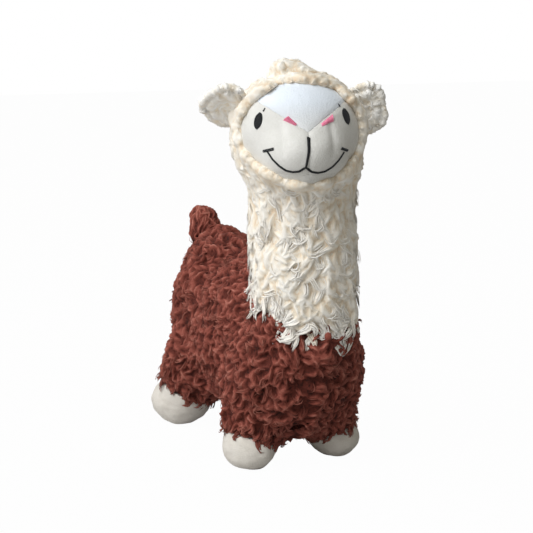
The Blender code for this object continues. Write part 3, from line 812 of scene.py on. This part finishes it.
def headForm(f):
    form = nodeCopy(*faceNodes, "stuffing")
    for point, facing in (((0, 0, 0.185), (0, 0, -1)), (headPlace @ Vector((0, 0.012, 0)), (0, 1, 0))):
        everything = form.verts[:] + form.edges[:] + form.faces[:]
        cut = bmesh.ops.bisect_plane(
            form, geom=everything, plane_co=point, plane_no=facing, clear_outer=True, dist=1e-7
        )
        bmesh.ops.holes_fill(form, edges=[e for e in form.edges if e.is_boundary])
    form = rounded(form, f["voxel"], f["passes"])
    form.normal_update()
    slope = math.radians(f["foreheadSlope"])
    moves = []
    for vert in form.verts:
        spot = fromHead @ vert.co
        x, z = abs(spot.x), spot.z
        rim = x * math.sin(slope) - (z - f["noseHeight"]) * math.cos(slope)  # above 0 on the cheeks
        depth = f["seamDepth"] * hill(rim, f["seamWidth"])
        if rim > 0 and z > f["chinSeam"]:
            depth += f["seamDepth"] * 0.8 * hill(x, f["seamWidth"] * 0.9)
        depth += f["seamDepth"] * 0.5 * hill(z - f["chinSeam"], f["seamWidth"])
        reach = smoothStep(z, *f["creaseReach"][:2]) * (1 - smoothStep(z, *f["creaseReach"][2:]))
        depth += f["creaseDepth"] * hill(x - f["creasePlace"], f["creaseWidth"]) * reach
        puffX, puffZ = f["puffPlace"]
        depth -= f["puffDepth"] * hill(x - puffX, f["puffWidth"]) * hill(z - puffZ, f["puffHeight"])
        depth -= f["chinPuff"] * hill(x, f["chinWidth"]) * hill(z - f["chinPlace"], f["chinHeight"])
        moves.append(f["swell"] - depth)
    for vert, move in zip(form.verts, moves):
        if (fromHead @ vert.co).y < 0.004:
            vert.co += vert.normal * move
    return form


def facePanel(whole, planes):
    form = whole.copy()
    for point, facing in planes:
        everything = form.verts[:] + form.edges[:] + form.faces[:]
        bmesh.ops.bisect_plane(
            form, geom=everything, plane_co=headPlace @ Vector(point),
            plane_no=headPlace.to_3x3() @ Vector(facing), clear_outer=True, dist=1e-7,
        )
    form.normal_update()
    shell = {"thickness": face["thick"], "offset": -1, "use_even_offset": False}
    return formThrough(form, ("SOLIDIFY", shell))


wholeFace = headForm(face)
skinTree = BVHTree.FromBMesh(wholeFace)
slope = math.radians(face["foreheadSlope"])
rear = ((0, 0.006, 0), (0, 1, 0))
neckEnd = ((0, 0, -0.036), (0, 0, -1))
brow = {side: ((0, 0, face["noseHeight"]), (side * math.sin(slope), 0, -math.cos(slope))) for side in (-1, 1)}
chin = ((0, 0, face["chinSeam"]), (0, 0, -1))


def turned(plane):
    return plane[0], tuple(-v for v in plane[1])


panels = {
    "forehead_panel": ("forehead", [rear, brow[-1], brow[1]]),
    "cheek_panel_left": ("cheek", [rear, turned(brow[1]), chin, ((0, 0, 0), (-1, 0, 0))]),
    "cheek_panel_right": ("cheek", [rear, turned(brow[-1]), chin, ((0, 0, 0), (1, 0, 0))]),
    "chin_panel": ("cheek", [rear, turned(chin), neckEnd]),
}
for name, (finish, planes) in panels.items():
    finishPiece(facePanel(wholeFace, planes), name + "_plush", finish, (name,))
print("face")


# embroidery, laid thread by thread on the face
def onFace(x, z):
    start = headPlace @ Vector((x, -0.09, z))
    spot, normal, _, _ = skinTree.ray_cast(start, headPlace.to_3x3() @ Vector((0, 1, 0)))
    return spot, normal


def alongLine(points, step):
    points = np.array(points, float)
    lengths = np.concatenate([[0], np.cumsum(np.linalg.norm(np.diff(points, axis=0), axis=1))])
    marks = np.linspace(0, lengths[-1], max(2, int(lengths[-1] / step) + 1))
    line = np.stack([np.interp(marks, lengths, points[:, i]) for i in (0, 1)], 1)
    return line, unit(np.gradient(line, axis=0)), marks / lengths[-1]


# a thread's place across the stitch, and its height there
humps = ((-0.5, -0.0004), (-0.44, 0.0003), (0.0, 0.00055), (0.44, 0.0003), (0.5, -0.0004))


def satin(name, node, points, ends, finish, slot, slant=0.35, step=0.00042, thick=0.0006):
    line, along, share = alongLine(points, step)
    paths, ups = [], []
    for (x, z), (dx, dz), part in zip(line, along, share):
        width = ends[0] + (ends[1] - ends[0]) * part
        ax, az = -dz + slant * dx, dx + slant * dz
        path, up = [], []
        for across, height in humps:
            spot, normal = onFace(x + ax * across * width, z + az * across * width)
            path.append(spot + normal * height)
            up.append(normal)
        paths.append(path)
        ups.append(up)
    return threads(name, node, paths, ups, finish, slot, thick)


def threads(name, node, paths, ups, finish, slot, thick):
    paths, ups = np.array(paths), np.array(ups)
    rng = np.random.default_rng(len(paths))
    count = len(paths)
    widths = thick * rng.uniform(0.9, 1.1, (count, 1)) * np.array([[0.7, 1, 1, 1, 0.3]])
    tones = rng.uniform(0.1, 0.9, (count, 1)) * np.ones((1, 5))
    return layStrands(name, paths, ups, widths, tones, finish, slot, 0.8, (node,) if node else ())


eyes = {
    "outward": (0.74, -0.60, 0.28), "width": 0.0076, "height": 0.0108,
    "right": ((0.0293, -0.0224, 0.0110), 9.0), "left": ((0.0283, -0.0224, 0.0136), 0.0),
}


def eye(word, side, e):
    (x, y, z), roll = e[word]
    place, outward = Vector((side * x, y, z)), Vector((side * e["outward"][0], *e["outward"][1:])).normalized()
    turn = outward.to_track_quat("Z", "Y").to_matrix() @ Matrix.Rotation(math.radians(roll), 3, "Z")
    paths, ups = [], []
    rows = int(e["height"] / 0.0004)
    for row in range(rows + 1):
        v = (row / rows * 2 - 1) * 0.99
        wide = math.sqrt(1 - v * v) * e["width"]
        path, up = [], []
        for across, height in humps:
            local = place + turn @ Vector((across * wide, v * e["height"] / 2 + across * 0.0008, 0))
            start = headPlace @ (local + outward * 0.02)
            spot, normal, _, _ = skinTree.ray_cast(start, headPlace.to_3x3() @ -outward)
            path.append(spot + normal * height)
            up.append(normal)
        paths.append(path)
        ups.append(up)
    threads(f"eye_{word}_threads", f"eye_{word}", paths, ups, "black", "black_thread", 0.0006)


# x is given for the left side, and both sides are stitched a little differently, as by hand
features = {
    "eyelash": {
        "right": ((0.0266, 0.0177), (0.0254, 0.0194)), "left": ((0.0246, 0.0202), (0.0236, 0.0218)),
        "widths": (0.0007, 0.0004), "thread": "black",
    },
    "nostril": {
        "right": ((0.0071, 0.0098), (0.0129, 0.0136)), "left": ((0.0099, 0.0096), (0.0186, 0.0134)),
        "widths": (0.0014, 0.0043), "thread": "pink",
    },
    "mouth_line": {
        "right": (
            (0.0034, -0.0167), (0.0068, -0.0190), (0.0107, -0.0196), (0.0148, -0.0187),
            (0.0190, -0.0159), (0.0228, -0.0120), (0.0254, -0.0078),
        ),
        "left": (
            (-0.0018, -0.0167), (0.0014, -0.0192), (0.0058, -0.0201), (0.0106, -0.0193),
            (0.0156, -0.0165), (0.0203, -0.0124), (0.0241, -0.0081),
        ),
        "widths": (0.0014, 0.0009), "thread": "black",
    },
    "mouth_corner": {
        "right": ((0.0222, -0.0053), (0.0278, -0.0077)), "left": ((0.0222, -0.0053), (0.0278, -0.0077)),
        "widths": (0.0017, 0.0016), "thread": "black",
    },
}
for word, side in (("left", 1), ("right", -1)):
    eye(word, side, eyes)
    for kind, f in features.items():
        points = [(side * x, z) for x, z in f[word]]
        colour = f["thread"]
        satin(f"{kind}_{word}_threads", f"{kind}_{word}", points, f["widths"], colour, f"{colour}_thread")
philtrum = ((-0.0004, 0.0026), (-0.0008, -0.0060), (-0.0026, -0.0168))
satin("philtrum_threads", "philtrum_line", philtrum, (0.0023, 0.0013), "black", "black_thread")
print("embroidery")

for node, finish in (("stuffing", "fibre"), ("squeaker_bladder", "rubber"), ("squeaker_reed", "plastic")):
    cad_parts[node].data.materials.clear()
    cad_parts[node].data.materials.append(finishes[finish])


# studio
def plainWorld(ambient, tint):  # white where the camera looks, and a tinted plain light on the toy
    world = bpy.data.worlds.new("studio")
    scene.world = world
    world.use_nodes = True
    made = Nodes(world.node_tree)
    kinds = ("Camera", "Glossy", "Transmission")
    rays = [made.node("ShaderNodeLightPath", out=f"Is {kind} Ray") for kind in kinds]
    seen = rays[0].work("MAXIMUM", rays[1]).work("MAXIMUM", rays[2])
    level = made.node("ShaderNodeMapRange", {}, {"Value": seen, "To Min": ambient, "To Max": 1.0})
    colours = {0: seen, 6: (*tint, 1), 7: (1, 1, 1, 1)}
    colour = made.node("ShaderNodeMix", {"data_type": "RGBA"}, colours, out=2)
    sky = made.tree.nodes["Background"]
    colour.feed(sky.inputs["Color"])
    level.feed(sky.inputs["Strength"])


def paleFloor(height, size, own, glow):
    floor = bmesh.new()
    place = Matrix.Translation((0, 0, height))
    bmesh.ops.create_grid(floor, x_segments=1, y_segments=1, size=size, matrix=place)
    mesh = bpy.data.meshes.new("floor")
    floor.to_mesh(mesh)
    floor.free()
    made = Finish("floor_paper", Roughness=1.0, Base_Color=(own, own, own, 1))
    light = made.node("ShaderNodeEmission", {}, {"Color": (1, 1, 1, 1), "Strength": 1.0})
    direct = made.node("ShaderNodeLightPath", out="Is Camera Ray")
    paper = Level(made, made.shader.outputs[0])
    both = made.node("ShaderNodeMixShader", {}, {0: direct * glow, 1: paper, 2: light})
    both.feed(made.tree.nodes["Material Output"].inputs["Surface"])
    mesh.materials.append(made.material)
    piece = bpy.data.objects.new("floor", mesh)
    scene.collection.objects.link(piece)


def lamp(name, spot, size, watts, colour):
    data = bpy.data.lights.new(name, "AREA")
    data.size, data.energy, data.color = size, watts, colour
    made = bpy.data.objects.new(name, data)
    made.location = spot
    made.rotation_mode = "QUATERNION"
    made.rotation_quaternion = (Vector(spot) - lampAim).to_track_quat("Z", "Y")
    scene.collection.objects.link(made)


plainWorld(0.235, (1.0, 0.965, 0.85))
paleFloor(-0.0004, 4, 0.5, 0.98)
lampAim = Vector((0, 0, 0.14))
lamp("key", (-1.75, -0.05, 1.05), 2.0, 23, (0.985, 0.985, 1.0))
lamp("sky", (-1.05, -0.50, 1.85), 1.4, 26, (0.93, 0.97, 1.0))
